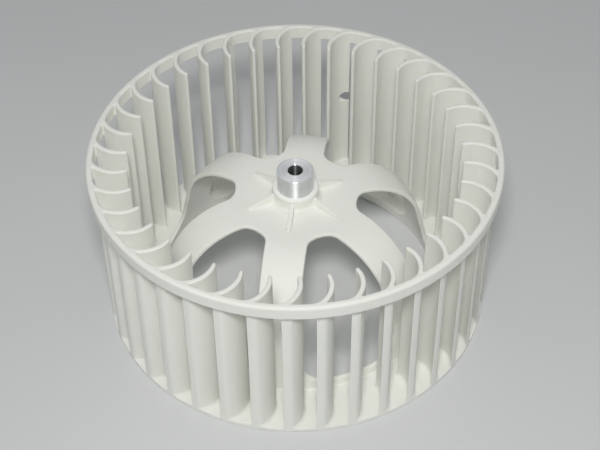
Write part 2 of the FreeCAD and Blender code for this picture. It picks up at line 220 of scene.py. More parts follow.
def drill(piece, angle, height, radius, inner, outer):
    """Cut a round radial hole through a piece between two distances from the axis."""
    turns = [2 * math.pi * step / DRILL_STEPS for step in range(DRILL_STEPS)]
    rod = lofted([[(distance, radius * math.cos(turn), height + radius * math.sin(turn))
                   for turn in turns] for distance in (inner, outer)])
    cutter = bpy.data.objects.new("drill", closed_mesh("drill", rod, angle))
    bpy.context.scene.collection.objects.link(cutter)
    cut = piece.modifiers.new("hole", "BOOLEAN")
    cut.operation = "DIFFERENCE"
    cut.solver = "EXACT"
    cut.object = cutter
    apply_modifiers(piece)
    bpy.data.objects.remove(cutter)


def chamfer_edges(piece, width, angle):
    """Take a narrow flat off the edges of a piece that are sharper than an angle."""
    bevel = piece.modifiers.new("edges", "BEVEL")
    bevel.width = width * MM
    bevel.segments = 1
    bevel.limit_method = "ANGLE"
    bevel.angle_limit = math.radians(angle)
    bevel.use_clamp_overlap = True


def keep_flats(piece):
    """Shade flat faces evenly right up to the narrow rounds beside them."""
    normals = piece.modifiers.new("normals", "WEIGHTED_NORMAL")
    normals.keep_sharp = True
    normals.weight = FLAT_WEIGHT


# ---------------------------------------------------------------- materials
class Nodes:
    """Short forms for building one material's node tree."""

    def __init__(self, name):
        self.material = bpy.data.materials.new(name)
        self.material.use_nodes = True
        self.tree = self.material.node_tree
        self.shader = self.tree.nodes["Principled BSDF"]

    def add(self, kind, **values):
        node = self.tree.nodes.new(kind)
        for key, value in values.items():
            if key in node.inputs:
                node.inputs[key].default_value = value
            else:
                setattr(node, key, value)
        return node

    def link(self, output, target):
        self.tree.links.new(output, target)

    def noise(self, coordinates, scale, detail=3.0, roughness=0.5):
        node = self.add("ShaderNodeTexNoise")
        node.inputs["Scale"].default_value = scale
        node.inputs["Detail"].default_value = detail
        node.inputs["Roughness"].default_value = roughness
        self.link(coordinates, node.inputs["Vector"])
        return node.outputs["Fac"]

    def ramp(self, factor, stops):
        """A colour ramp; stops are (position, colour) pairs."""
        node = self.add("ShaderNodeValToRGB")
        elements = node.color_ramp.elements
        while len(elements) < len(stops):
            elements.new(0.5)
        for element, (position, colour) in zip(elements, stops):
            element.position = position
            element.color = (*colour, 1)
        self.link(factor, node.inputs["Fac"])
        return node.outputs["Color"]

    def scaled(self, factor, low, high):
        node = self.add("ShaderNodeMapRange")
        node.inputs["To Min"].default_value = low
        node.inputs["To Max"].default_value = high
        self.link(factor, node.inputs["Value"])
        return node.outputs["Result"]

    def bump(self, height, distance, strength=1.0, under=None):
        node = self.add("ShaderNodeBump")
        node.inputs["Distance"].default_value = distance
        node.inputs["Strength"].default_value = strength
        self.link(height, node.inputs["Height"])
        if under is not None:
            self.link(under, node.inputs["Normal"])
        return node.outputs["Normal"]


def moulded_plastic():
    """Cream polypropylene: faint flow mottling, a soft sheen and light scatter."""
    nodes = Nodes("moulded_plastic")
    place = nodes.add("ShaderNodeTexCoord").outputs["Object"]
    mottle = nodes.noise(place, scale=28, detail=4)
    colour = nodes.ramp(mottle, [(0.35, (0.900, 0.910, 0.855)), (0.65, (0.920, 0.928, 0.878))])
    nodes.link(colour, nodes.shader.inputs["Base Color"])
    sheen = nodes.noise(place, scale=60, detail=3)
    nodes.link(nodes.scaled(sheen, low=0.48, high=0.58), nodes.shader.inputs["Roughness"])
    grain = nodes.noise(place, scale=1800, detail=2)
    fine = nodes.bump(grain, distance=0.00002, strength=0.35)
    swell = nodes.noise(place, scale=45, detail=2)
    waves = nodes.bump(swell, distance=0.00025, strength=0.5, under=fine)
    nodes.link(waves, nodes.shader.inputs["Normal"])
    nodes.shader.inputs["IOR"].default_value = 1.48
    nodes.shader.inputs["Specular IOR Level"].default_value = 0.32
    nodes.shader.inputs["Subsurface Weight"].default_value = 0.15
    nodes.shader.inputs["Subsurface Radius"].default_value = (1.0, 0.9, 0.7)
    nodes.shader.inputs["Subsurface Scale"].default_value = 0.002
    return nodes.material


PLASTIC = moulded_plastic()


# ---------------------------------------------------------------- the cage
CAGE_STEPS = 360
TOP_ROUND = 0.9
RING_INNER_ROUND = 0.3
RING_LOWER_ROUND = 1.0
RING_UPPER_ROUND = 1.6
PLATE_RIM_ROUND = 0.4


def make_inlet_ring():
    corners = [(CAGE_RADIUS, RING_BOTTOM), (RING_OUTER, RING_BOTTOM),
               (RING_OUTER, WHEEL_TOP), (CAGE_RADIUS, WHEEL_TOP)]
    rounds = [RING_INNER_ROUND, RING_LOWER_ROUND, RING_UPPER_ROUND, TOP_ROUND]
    profile = rounded(corners, rounds, steps=8)
    piece = make_piece("inlet_ring_moulding", revolved(profile, CAGE_STEPS), PLASTIC,
                       "inlet_ring")
    keep_flats(piece)


def make_back_plate():
    corners = [(FOOT_RADIUS, 0), (CAGE_RADIUS, 0), (CAGE_RADIUS, PLATE_TOP),
               (FOOT_RADIUS, PLATE_TOP)]
    profile = rounded(corners, [0, PLATE_RIM_ROUND, PLATE_RIM_ROUND, 0])
    piece = make_piece("back_plate_moulding", revolved(profile, CAGE_STEPS), PLASTIC,
                       "back_plate")
    keep_flats(piece)


# One blade lies with its inner tip on the X axis.  Its wall follows an arc, thins towards the
# tip from TAPER_START on, and its convex face looks outwards.  Rounds and fillets beside the
# rim are given as the length that they take up along the face.
CAMBER_CENTER = Vector((93.2, -15.33))
CAMBER_RADIUS = 15.7
TIP_RADIUS = 88.8
TIP_THICKNESS = 2.1
BODY_THICKNESS = 2.6
TAPER_START = 0.55
ROOT_FILLET = 1.2
RING_FILLET_CONVEX = 1.92
RING_FILLET_HOLLOW = 2.4
RIM_ROUND_CONVEX = 1.7
RIM_ROUND_HOLLOW = 1.1
RIM_STRIP = 2.88
RIM_INSET = 0.02
RIM_IN_RING = 0.05
RING_FLAT = CAGE_RADIUS + TOP_ROUND + RIM_IN_RING
SIDE_STEPS = 22
FILLET_STEPS = 7
RIM_STEPS = 4
NOSE_STEPS = 12
ROOT_LEVELS = 6
BODY_LEVELS = range(15, 91, 15)
JOIN_STEP = 0.01
DEPTHS_IN_RING = (4, 2)
TOP_LEVELS = 7


def crossing(radius, distance):
    """Angle about the camber centre where a circle comes to a distance from the axis."""
    reach = CAMBER_CENTER.length
    cosine = (distance**2 - reach**2 - radius**2) / (2 * reach * radius)
    return math.atan2(CAMBER_CENTER.y, CAMBER_CENTER.x) + math.acos(cosine)


def blade_outline(joined):
    """A blade's section, anticlockwise: the points of both faces, then those of the rim.

    Where the blade is joined to the ring, its faces spread out along the ring's inside
    and the rim lies within the ring.
    """
    nose_angle = crossing(CAMBER_RADIUS, TIP_RADIUS + TIP_THICKNESS / 2)

    def half_wall(share):
        """Half the wall at a share of the way from the rim to the tip."""
        taper = max(0.0, share - TAPER_START) / (1 - TAPER_START)
        return (BODY_THICKNESS + (TIP_THICKNESS - BODY_THICKNESS) * taper**2) / 2

    def side(sign):
        """Points of one face, from the rim to the tip; +1 is the convex face, -1 the hollow one."""
        rim_angle = crossing(CAMBER_RADIUS + sign * half_wall(0), CAGE_RADIUS)
        points = []
        for step in range(SIDE_STEPS + 1):
            share = step / SIDE_STEPS
            angle = rim_angle + (nose_angle - rim_angle) * share
            radius = CAMBER_RADIUS + sign * half_wall(share)
            points.append(CAMBER_CENTER + radius * Vector((math.cos(angle), math.sin(angle))))
        corner = points[0]
        if joined:
            spread = RING_FILLET_CONVEX if sign > 0 else RING_FILLET_HOLLOW
            turn = sign * spread / CAGE_RADIUS
        else:
            spread = RIM_ROUND_CONVEX if sign > 0 else RIM_ROUND_HOLLOW
            turn = -sign * spread / CAGE_RADIUS
        start = corner + (points[1] - corner).normalized() * spread
        landing_angle = math.atan2(corner.y, corner.x) + turn
        landing = CAGE_RADIUS * Vector((math.cos(landing_angle), math.sin(landing_angle)))
        blend = []
        for step in range(FILLET_STEPS + 1):
            share = step / FILLET_STEPS
            blend.append(landing * (1 - share)**2 + corner * 2 * share * (1 - share)
                         + start * share**2)
        return blend + [point for point in points if (point - corner).length > RIM_STRIP]

    convex_face = side(1)
    hollow_face = side(-1)
    hollow_face.reverse()
    nose_center = CAMBER_CENTER + CAMBER_RADIUS * Vector((math.cos(nose_angle),
                                                          math.sin(nose_angle)))
    nose = []
    for step in range(1, NOSE_STEPS):
        angle = nose_angle + math.pi * step / NOSE_STEPS
        offset = Vector((math.cos(angle), math.sin(angle))) * TIP_THICKNESS / 2
        nose.append(nose_center + offset)
    faces = convex_face + nose + hollow_face

    first = math.atan2(hollow_face[-1].y, hollow_face[-1].x)
    last = math.atan2(convex_face[0].y, convex_face[0].x)
    rim_radius = RING_FLAT if joined else CAGE_RADIUS
    inset = 0 if joined else RIM_INSET
    rim = []
    for step in range(RIM_STEPS + 1):
        share = inset + (1 - 2 * inset) * step / RIM_STEPS
        angle = first + (last - first) * share
        rim.append(rim_radius * Vector((math.cos(angle), math.sin(angle))))
    return faces, rim


def grown(outline, distance, limit):
    """A blade's outline with its faces moved outwards, but not past a limiting radius."""
    faces, rim = outline
    result = []
    for number, point in enumerate(faces):
        before = faces[max(number - 1, 0)]
        after = faces[min(number + 1, len(faces) - 1)]
        along = after - before
        moved = point + Vector((along.y, -along.x)).normalized() * distance
        if moved.length > limit:
            moved *= limit / moved.length
        result.append(moved)
    return result + rim


def blade_geometry():
    """A blade from its filleted foot, up past the ring's lower edge, to its rounded top."""
    plain = blade_outline(joined=False)
    joined = blade_outline(joined=True)
    levels = []
    for step in range(ROOT_LEVELS + 1):
        turn = math.pi / 2 * step / ROOT_LEVELS
        spread = ROOT_FILLET * (1 - math.sin(turn))
        height = PLATE_TOP + ROOT_FILLET * (1 - math.cos(turn))
        levels.append((height, grown(plain, spread, CAGE_RADIUS)))
    ring_start = RING_BOTTOM + RING_INNER_ROUND
    for height in (*BODY_LEVELS, ring_start):
        levels.append((height, grown(plain, 0, CAGE_RADIUS)))
    for height in (ring_start + JOIN_STEP, *(WHEEL_TOP - depth for depth in DEPTHS_IN_RING)):
        levels.append((height, grown(joined, 0, RING_FLAT)))
    for step in range(TOP_LEVELS + 1):
        turn = math.pi / 2 * step / TOP_LEVELS
        height = WHEEL_TOP - TOP_ROUND * (1 - math.sin(turn))
        levels.append((height, grown(joined, -TOP_ROUND * (1 - math.cos(turn)), RING_FLAT)))
    return lofted([[(point.x, point.y, height) for point in outline]
                   for height, outline in levels])


# The hole that lets a driver through to the set screw.
DRILLED_BLADE = "blade_09"
BLADE_DRIVER_RADIUS = 3.5
BLADE_DRIVER_ANGLE = 73.2
DRILL_MARGIN = 5


def make_blades():
    geometry = blade_geometry()
    for number, node in enumerate(BLADE_NAMES):
        angle = FIRST_BLADE_ANGLE + BLADE_PITCH * number
        piece = make_piece(f"{node}_moulding", geometry, PLASTIC, node, angle)
        if node == DRILLED_BLADE:
            drill(piece, BLADE_DRIVER_ANGLE, SCREW_HEIGHT, BLADE_DRIVER_RADIUS,
                  TIP_RADIUS - DRILL_MARGIN, CAGE_RADIUS + DRILL_MARGIN)
        keep_flats(piece)


# ---------------------------------------------------------------- the spider
DOME_WALL = 2.4
SHOULDER_RADIUS = 39.5
SHOULDER_CENTER = (33.8, DOME_TOP - SHOULDER_RADIUS)
DOME_DRAFT = math.radians(13.5)
OVERLAP = 1
FOOT_INNER_RADIUS = 79.4
FOOT_FILLET = 1.4
FOOT_CHAMFER = 0.35
CURB_HEIGHT = 7.1
ARM_HALF_WIDTH = 11.2
ARM_DRIVER_RADIUS = 1.9
BOSS_RADIUS = 12.65

# An opening's corners: two over the shoulder, seen from above, and two at the foot, seen
# from the side.  The places are those of the corner rounds' centres, along and beside the
# arm; SHOULDER_CORNER_ANGLE is in radians.
OPENING_INNER = 33.5
SHOULDER_ROUND = 8.0
FOOT_ROUND = 15.0
SHOULDER_CORNER_REACH = OPENING_INNER + SHOULDER_ROUND
SHOULDER_CORNER_BESIDE = ARM_HALF_WIDTH + SHOULDER_ROUND
SHOULDER_CORNER_ANGLE = math.asin(SHOULDER_CORNER_BESIDE / SHOULDER_CORNER_REACH)
SHOULDER_CORNER_ALONG = SHOULDER_CORNER_REACH * math.cos(SHOULDER_CORNER_ANGLE)
FOOT_CORNER_BESIDE = ARM_HALF_WIDTH + FOOT_ROUND
FOOT_CORNER_HEIGHT = CURB_HEIGHT + FOOT_ROUND

# The round along an opening's edge, and the distances from the edge at which the mesh has
# a line of points, closest together where the round is steepest.
EDGE_SOFTNESS = 0.85
EDGE_DISTANCES = [EDGE_SOFTNESS * share for share in (0, 0.08, 0.3, 0.62, 1)]

# Rows of the spider's mesh, from the boss down to the foot.
DISC_RADII = (14.5, 17, 20, 24, 28, 31)
SHOULDER_ROWS = 48
SIDE_ROWS = 12
CORNER_ROWS = 14
FOOT_ROWS = 6

SIDE_TOP = (SHOULDER_CENTER[0] + SHOULDER_RADIUS * math.cos(DOME_DRAFT),
            SHOULDER_CENTER[1] + SHOULDER_RADIUS * math.sin(DOME_DRAFT))
FOOT_RADIUS = SIDE_TOP[0] + (SIDE_TOP[1] - PLATE_TOP) * math.tan(DOME_DRAFT)
INNER_SIDE_TOP = (SHOULDER_CENTER[0] + (SHOULDER_RADIUS - DOME_WALL) * math.cos(DOME_DRAFT),
                  SHOULDER_CENTER[1] + (SHOULDER_RADIUS - DOME_WALL) * math.sin(DOME_DRAFT))


def clearance(radius, height, angle):
    """Distance from a point of the wall to the opening; the angle, in radians, is off the arm."""
    along = radius * math.cos(angle)
    beside = radius * math.sin(abs(angle))
    if height < FOOT_CORNER_HEIGHT:
        if beside >= FOOT_CORNER_BESIDE:
            return CURB_HEIGHT - height
        return math.hypot(FOOT_CORNER_BESIDE - beside, FOOT_CORNER_HEIGHT - height) - FOOT_ROUND
    if along >= SHOULDER_CORNER_ALONG:
        return ARM_HALF_WIDTH - beside
    if abs(angle) >= SHOULDER_CORNER_ANGLE:
        return OPENING_INNER - radius
    corner_distance = math.hypot(SHOULDER_CORNER_ALONG - along, SHOULDER_CORNER_BESIDE - beside)
    return corner_distance - SHOULDER_ROUND


HALVINGS = 40
LEAST_DISTANCE = 1e-9


def edge_angle(radius, height, distance):
    """Angle off an arm, in radians, at which a point is a distance away from the opening."""
    radius = max(radius, OPENING_INNER)
    height = max(height, CURB_HEIGHT)
    low, high = 0.0, math.pi / len(RIB_NAMES)
    for _ in range(HALVINGS):
        middle = (low + high) / 2
        if clearance(radius, height, middle) > distance + LEAST_DISTANCE:
            low = middle
        else:
            high = middle
    return high


def inner_side(height):
    """Radius of the spider's inside at a height below its shoulder."""
    share = (INNER_SIDE_TOP[1] - height) / INNER_SIDE_TOP[1]
    return INNER_SIDE_TOP[0] + (FOOT_INNER_RADIUS - INNER_SIDE_TOP[0]) * share


def outer_side(height):
    """Radius of the spider's outside at a height below its shoulder."""
    return SIDE_TOP[0] + (SIDE_TOP[1] - height) * math.tan(DOME_DRAFT)


def spider_rows():
    """Rows from the boss down to the foot: outer and inner (radius, height), and solid.

    A solid row runs on past its arm to the next one.
    """
    rows = []
    radii = [BOSS_RADIUS - OVERLAP, *DISC_RADII]
    radii += [OPENING_INNER - distance for distance in reversed(EDGE_DISTANCES)]
    for radius in radii:
        rows.append(((radius, DOME_TOP), (radius, DOME_TOP - DOME_WALL), True))
    for step in range(1, SHOULDER_ROWS + 1):
        turn = math.pi / 2 + (DOME_DRAFT - math.pi / 2) * step / SHOULDER_ROWS
        outer = (SHOULDER_CENTER[0] + SHOULDER_RADIUS * math.cos(turn),
                 SHOULDER_CENTER[1] + SHOULDER_RADIUS * math.sin(turn))
        inner = (SHOULDER_CENTER[0] + (SHOULDER_RADIUS - DOME_WALL) * math.cos(turn),
                 SHOULDER_CENTER[1] + (SHOULDER_RADIUS - DOME_WALL) * math.sin(turn))
        rows.append((outer, inner, False))
    for step in range(1, SIDE_ROWS + 1):
        share = step / SIDE_ROWS
        outer_height = SIDE_TOP[1] + (FOOT_CORNER_HEIGHT - SIDE_TOP[1]) * share
        inner_height = INNER_SIDE_TOP[1] + (FOOT_CORNER_HEIGHT - INNER_SIDE_TOP[1]) * share
        rows.append(((outer_side(outer_height), outer_height),
                     (inner_side(inner_height), inner_height), False))
    for step in range(1, CORNER_ROWS):
        height = FOOT_CORNER_HEIGHT - FOOT_ROUND * math.sin(math.pi / 2 * step / CORNER_ROWS)
        rows.append(((outer_side(height), height), (inner_side(height), height), False))
    for distance in EDGE_DISTANCES:
        height = CURB_HEIGHT - distance
        rows.append(((outer_side(height), height), (inner_side(height), height), True))
    lean = (math.pi / 2 + DOME_DRAFT) / 2
    tangent = FOOT_FILLET / math.tan(lean)
    center = (FOOT_RADIUS + tangent, PLATE_TOP + FOOT_FILLET)
    for step in range(FOOT_ROWS + 1):
        share = step / FOOT_ROWS
        turn = math.pi + DOME_DRAFT + (math.pi / 2 - DOME_DRAFT) * share
        outer = (center[0] + FOOT_FILLET * math.cos(turn),
                 center[1] + FOOT_FILLET * math.sin(turn))
        inner_height = outer[1] * (1 - share) + FOOT_CHAMFER * share
        rows.append((outer, (inner_side(inner_height), inner_height), True))
    rows.append(((FOOT_RADIUS, 0), (FOOT_INNER_RADIUS + FOOT_CHAMFER, 0), True))
    return rows


# Cells of a row, across an arm and from there to halfway to the next arm.
ARM_CELLS = 10
WEB_CELLS = 8
SOFT_CELLS = len(EDGE_DISTANCES) - 1


def spider_geometry():
    """A closed quad mesh of the whole spider, one sector per arm."""
    rows = spider_rows()
    half_sector = math.pi / len(RIB_NAMES)
    across = ARM_CELLS + 2 * SOFT_CELLS
    columns = across + 2 * WEB_CELLS + 1
    points = []

    def row_angles(radius, height):
        edges = [edge_angle(radius, height, distance) for distance in EDGE_DISTANCES]
        web = [half_sector + (edges[0] - half_sector) * step / WEB_CELLS
               for step in range(WEB_CELLS)]
        arm = [edges[-1] * (1 - 2 * step / ARM_CELLS) for step in range(ARM_CELLS + 1)]
        half = web + edges[:-1]
        return half + arm + [-angle for angle in reversed(half)]

    def thinned(radius, height, angle):
        """How far the wall's face is drawn in at a point, to round the opening's edge."""
        shortfall = EDGE_SOFTNESS - max(0.0, clearance(radius, height, angle))
        if shortfall <= 0:
            return 0.0
        return EDGE_SOFTNESS - math.sqrt(EDGE_SOFTNESS**2 - shortfall**2)

    for outer, inner, _ in rows:
        for (radius, height), other in ((outer, inner), (inner, outer)):
            into_wall = (Vector(other) - Vector((radius, height))) / DOME_WALL
            for angle in row_angles(radius, height):
                drawn = thinned(radius, height, angle)
                r = radius + into_wall.x * drawn
                points.append((r * math.cos(angle), r * math.sin(angle),
                               height + into_wall.y * drawn))

    def index(row, inside, column):
        return (row * 2 + inside) * columns + column

    faces = []
    last = len(rows) - 1
    for row in range(last):
        whole = rows[row][2] and rows[row + 1][2]
        first = 0 if whole else WEB_CELLS
        for column in range(first, columns - 1 - first):
            for inside in (0, 1):
                faces.append((index(row, inside, column), index(row + 1, inside, column),
                              index(row + 1, inside, column + 1), index(row, inside, column + 1)))
        if not whole:
            for column in (WEB_CELLS, WEB_CELLS + across):
                faces.append((index(row, 0, column), index(row, 1, column),
                              index(row + 1, 1, column), index(row + 1, 0, column)))
    for row in range(last + 1):
        outermost = row in (0, last)
        at_opening = (rows[row][2] and not outermost
                      and not (rows[row - 1][2] and rows[row + 1][2]))
        for column in range(columns - 1):
            web = column < WEB_CELLS or column >= WEB_CELLS + across
            if outermost or (at_opening and web):
                faces.append((index(row, 0, column), index(row, 0, column + 1),
                              index(row, 1, column + 1), index(row, 1, column)))

    whole_points, whole_faces = [], []
    for arm in range(len(RIB_NAMES)):
        turn = Matrix.Rotation(arm * 2 * half_sector, 3, "Z")
        base = len(whole_points)
        whole_points += [tuple(turn @ Vector(point)) for point in points]
        whole_faces += [tuple(base + number for number in face) for face in faces]
    return whole_points, whole_faces


def make_spider():
    piece = make_piece("spider_moulding", spider_geometry(), PLASTIC, "spider", FIRST_ARM_ANGLE)
    drill(piece, SCREW_ANGLE, SCREW_HEIGHT, ARM_DRIVER_RADIUS, OPENING_INNER, FOOT_RADIUS)
    keep_flats(piece)


# ---------------------------------------------------------------- boss, ribs and hub
BOSS_STEPS = 144
BOSS_FILLET = 1.8
BOSS_LOWER_ROUND = 0.5
BOSS_UPPER_ROUND = 0.9
BOSS_COLLAR = 2
FOOT_SUNK = 0.02
RIB_THICKNESS = 2.3
RIB_END = 28.0
RIB_INNER_RISE = 5.6
RIB_OUTER_RISE = 1.1
RIB_END_ROUND = 0.35
RIB_END_STEPS = 5
RIB_FILLET = 0.5
RIB_TOP_ROUND = 0.35
RIB_ROUND_SHARE = 0.4
RIB_SUNK = 0.3
RIB_RADII = (16, 20, 24, 27)


def make_hub_boss():
    dome_underside = DOME_TOP - DOME_WALL - FOOT_SUNK / 2
    profile = rounded([(HUB_RADIUS, BOSS_BOTTOM), (BOSS_RADIUS, BOSS_BOTTOM),
                       (BOSS_RADIUS, dome_underside)], [0, BOSS_LOWER_ROUND, 0])
    fillet_foot = DOME_TOP - FOOT_SUNK
    profile += [(BOSS_RADIUS, fillet_foot), (BOSS_RADIUS + BOSS_FILLET, fillet_foot)]
    center = (BOSS_RADIUS + BOSS_FILLET, DOME_TOP + BOSS_FILLET)
    profile += arc_points(center, BOSS_FILLET, 270, 180, 6)
    profile += rounded([(BOSS_RADIUS, BOSS_TOP - BOSS_COLLAR), (BOSS_RADIUS, BOSS_TOP),
                        (HUB_RADIUS, BOSS_TOP)], [0, BOSS_UPPER_ROUND, 0])
    piece = make_piece("hub_boss_moulding", revolved(profile, BOSS_STEPS), PLASTIC, "hub_boss")
    keep_flats(piece)


def rib_section(width, rise, sunk):
    """Half a turn over the top of a rib, from one foot to the other, as (beside, height)."""
    fillet = min(RIB_FILLET, rise * RIB_ROUND_SHARE)
    top_round = min(RIB_TOP_ROUND, rise * RIB_ROUND_SHARE)
    half = width / 2
    side = [(half + fillet, -sunk)]
    side += arc_points((half + fillet, fillet), fillet, 270, 180, 5)
    side += arc_points((half - top_round, rise - top_round), top_round, 0, 90, 5)
    return side + [(-beside, height) for beside, height in reversed(side)]


def make_ribs():
    levels = []
    slope = (RIB_INNER_RISE - RIB_OUTER_RISE) / (RIB_END - BOSS_RADIUS)
    for radius in (BOSS_RADIUS - OVERLAP, BOSS_RADIUS, *RIB_RADII, RIB_END - RIB_END_ROUND):
        rise = RIB_INNER_RISE - slope * max(0.0, radius - BOSS_RADIUS)
        levels.append((radius, rise, RIB_THICKNESS))
    end_rise = levels[-1][1]
    for step in range(1, RIB_END_STEPS + 1):
        turn = math.pi / 2 * step / RIB_END_STEPS
        levels.append((RIB_END - RIB_END_ROUND * (1 - math.sin(turn)),
                       end_rise - RIB_END_ROUND * (1 - math.cos(turn)),
                       RIB_THICKNESS - RIB_END_ROUND * (1 - math.cos(turn))))
    loops = []
    for radius, rise, width in levels:
        loops.append([(radius, beside, DOME_TOP + height)
                      for beside, height in rib_section(width, rise, RIB_SUNK)])
    geometry = lofted(loops)
    for number, node in enumerate(RIB_NAMES):
        piece = make_piece(f"{node}_moulding", geometry, PLASTIC, node,
                           FIRST_ARM_ANGLE + ARM_PITCH * number)
        keep_flats(piece)


THREAD_RADIUS = 3.05
HUB_EDGE = 0.25
HUB_EDGE_ROUND = 0.06
HUB_STEPS = 192
HUB_SIDE_ROUGHNESS = (0.36, 0.46)
END_FACE_POLISH = 0.17
# How dark the painted shade in the bore is, as a share of the metal's colour.
PAINTED_BORE_SHADE = 0.30


def hub_aluminium():
    """Turned aluminium: fine tool marks round the axis, streaked highlights, and shade painted
    darker into the bore's colour.
    """
    nodes = Nodes("hub_aluminium")
    place = nodes.add("ShaderNodeTexCoord").outputs["Object"]
    parts = nodes.add("ShaderNodeSeparateXYZ")
    nodes.link(place, parts.inputs["Vector"])
    flat = nodes.add("ShaderNodeCombineXYZ")
    nodes.link(parts.outputs["X"], flat.inputs["X"])
    nodes.link(parts.outputs["Y"], flat.inputs["Y"])
    radius = nodes.add("ShaderNodeVectorMath", operation="LENGTH")
    nodes.link(flat.outputs["Vector"], radius.inputs[0])
    marks_place = nodes.add("ShaderNodeCombineXYZ")
    nodes.link(radius.outputs["Value"], marks_place.inputs["X"])
    nodes.link(parts.outputs["Z"], marks_place.inputs["Z"])
    marks = nodes.noise(marks_place.outputs["Vector"], scale=5200, detail=2, roughness=0.6)
    bands = nodes.noise(marks_place.outputs["Vector"], scale=900, detail=3, roughness=0.6)
    smudge = nodes.noise(place, scale=160, detail=4)
    colour = nodes.ramp(bands, [(0.3, (0.78, 0.79, 0.80)), (0.7, (0.90, 0.91, 0.92))])
    # Painted shade: the base colour inside the bore is darkened to stand in for the shade in the
    # hole.
    in_bore = nodes.add("ShaderNodeMath", operation="LESS_THAN")
    in_bore.inputs[1].default_value = (BORE_RADIUS + HUB_EDGE / 2) * MM
    nodes.link(radius.outputs["Value"], in_bore.inputs[0])
    painted_shade = nodes.ramp(in_bore.outputs["Value"], [(0, (1, 1, 1)), (1, (PAINTED_BORE_SHADE,) * 3)])
    colour_with_painted_shade = nodes.add("ShaderNodeVectorMath", operation="MULTIPLY")
    nodes.link(colour, colour_with_painted_shade.inputs[0])
    nodes.link(painted_shade, colour_with_painted_shade.inputs[1])
    nodes.link(colour_with_painted_shade.outputs["Vector"], nodes.shader.inputs["Base Color"])
    faces = nodes.add("ShaderNodeSeparateXYZ")
    nodes.link(nodes.add("ShaderNodeTexCoord").outputs["Normal"], faces.inputs["Vector"])
    end_face = nodes.add("ShaderNodeMath", operation="ABSOLUTE")
    nodes.link(faces.outputs["Z"], end_face.inputs[0])
    polish = nodes.scaled(end_face.outputs["Value"], 0.0, -END_FACE_POLISH)
    roughness = nodes.add("ShaderNodeMath", operation="ADD")
    nodes.link(nodes.scaled(smudge, *HUB_SIDE_ROUGHNESS), roughness.inputs[0])
    nodes.link(polish, roughness.inputs[1])
    nodes.link(roughness.outputs["Value"], nodes.shader.inputs["Roughness"])
    ridges = nodes.bump(marks, distance=0.00001, strength=0.35)
    nodes.link(ridges, nodes.shader.inputs["Normal"])
    nodes.shader.inputs["Metallic"].default_value = 1
    nodes.shader.inputs["Anisotropic"].default_value = 0.96
    nodes.shader.inputs["Anisotropic Rotation"].default_value = 0.25
    tangent = nodes.add("ShaderNodeTangent", direction_type="RADIAL", axis="Z")
    nodes.link(tangent.outputs["Tangent"], nodes.shader.inputs["Tangent"])
    return nodes.material


def screw_steel():
    """Black-oxide steel with faint brown mottling and worn, brighter patches."""
    nodes = Nodes("screw_steel")
    place = nodes.add("ShaderNodeTexCoord").outputs["Object"]
    mottle = nodes.noise(place, scale=900, detail=5, roughness=0.65)
    colour = nodes.ramp(mottle, [(0.35, (0.022, 0.021, 0.022)), (0.62, (0.055, 0.050, 0.047)),
                                 (0.80, (0.16, 0.155, 0.15))])
    nodes.link(colour, nodes.shader.inputs["Base Color"])
    nodes.link(nodes.scaled(mottle, low=0.28, high=0.50), nodes.shader.inputs["Roughness"])
    grain = nodes.noise(place, scale=4000, detail=3)
    rough = nodes.bump(grain, distance=0.00001, strength=0.4)
    nodes.link(rough, nodes.shader.inputs["Normal"])
    nodes.shader.inputs["Metallic"].default_value = 0.9
    return nodes.material


ALUMINIUM = hub_aluminium()
STEEL = screw_steel()


def make_hub_insert():
    corners = [
        (BORE_RADIUS, HUB_BOTTOM + HUB_EDGE), (BORE_RADIUS + HUB_EDGE, HUB_BOTTOM),
        (HUB_RADIUS - HUB_EDGE, HUB_BOTTOM), (HUB_RADIUS, HUB_BOTTOM + HUB_EDGE),
        (HUB_RADIUS, HUB_TOP - HUB_EDGE), (HUB_RADIUS - HUB_EDGE, HUB_TOP),
        (BORE_RADIUS + HUB_EDGE, HUB_TOP), (BORE_RADIUS, HUB_TOP - HUB_EDGE),
    ]
    profile = rounded(corners, [HUB_EDGE_ROUND] * len(corners), steps=3)
    piece = make_piece("hub_insert_turned", revolved(profile, HUB_STEPS), ALUMINIUM,
                       "hub_insert")
    drill(piece, SCREW_ANGLE, SCREW_HEIGHT, THREAD_RADIUS, 0, HUB_RADIUS + DRILL_MARGIN)
    keep_flats(piece)


# The screw lies along the X axis, its point towards the wheel's axis.
SCREW_RADIUS = 3.0
SCREW_LENGTH = 6.0
SCREW_POINT = 4.2
SCREW_HEAD = SCREW_POINT + SCREW_LENGTH
THREAD_PITCH = 1.0
THREAD_DEPTH = 0.42
THREAD_STEEPNESS = 1.25
THREAD_CREST = 0.12
SOCKET_FLATS = 3.0
SOCKET_DEPTH = 2.6
SOCKET_CHAMFER = 0.15
POINT_CHAMFER = 0.8
HEAD_CHAMFER = 0.35
SCREW_TURN = 72
SCREW_LEVELS = 60
SCREW_EDGE = 0.03
SCREW_EDGE_ANGLE = 50


def thread_radius(along, turned):
    """The screw's radius at a length from its point and a share of a turn round it."""
    wave = abs(((along / THREAD_PITCH - turned) % 1) * 2 - 1)
    groove = THREAD_DEPTH * min(1.0, max(0.0, wave * THREAD_STEEPNESS - THREAD_CREST))
    return min(SCREW_RADIUS - groove,
               SCREW_RADIUS - POINT_CHAMFER + along,
               SCREW_RADIUS - HEAD_CHAMFER + (SCREW_LENGTH - along))


def hexagon_radius(across_flats, turned):
    """Distance from the middle of a hexagon to its side, a share of a turn round it."""
    from_flat = (2 * math.pi * turned + math.pi / 6) % (math.pi / 3) - math.pi / 6
    return across_flats / 2 / math.cos(from_flat)


def screw_loop(place, radius_at):
    """A closed loop round the screw, its radius given by a function of the turned share."""
    loop = []
    for number in range(SCREW_TURN):
        turned = number / SCREW_TURN
        angle = 2 * math.pi * turned
        radius = radius_at(turned)
        loop.append((place, radius * math.cos(angle), SCREW_HEIGHT + radius * math.sin(angle)))
    return loop


